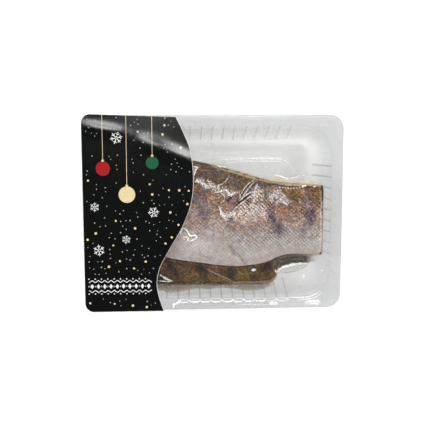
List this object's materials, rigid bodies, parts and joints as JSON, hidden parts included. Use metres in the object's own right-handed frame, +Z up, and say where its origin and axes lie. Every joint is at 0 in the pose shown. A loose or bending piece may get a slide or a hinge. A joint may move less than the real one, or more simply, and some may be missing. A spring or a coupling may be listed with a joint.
{
  "type": "packed zander fillets",
  "caption": "Clear ribbed tray holding skin-on zander fillets under a drawn-down clear film, with a dark printed card over one end of the rim.",
  "frame": {"origin": "centre of the underside of the tray", "axes": "+X along the tray's length, away from the card; +Y across it, towards the back edge of the upper fillet; +Z up"},
  "size_m": [0.19, 0.1453, 0.0278],
  "materials": {
    "tray_plastic": "gloss",
    "fish_lower": "gloss",
    "fish_upper": "gloss",
    "film_plastic": "gloss",
    "printed_card": "gloss"
  },
  "bodies": {
    "root": {"tray": "tray_plastic", "fillet_lower": "fish_lower", "fillet_upper": "fish_upper", "film": "film_plastic", "card": "printed_card"}
  },
  "joints": []
}
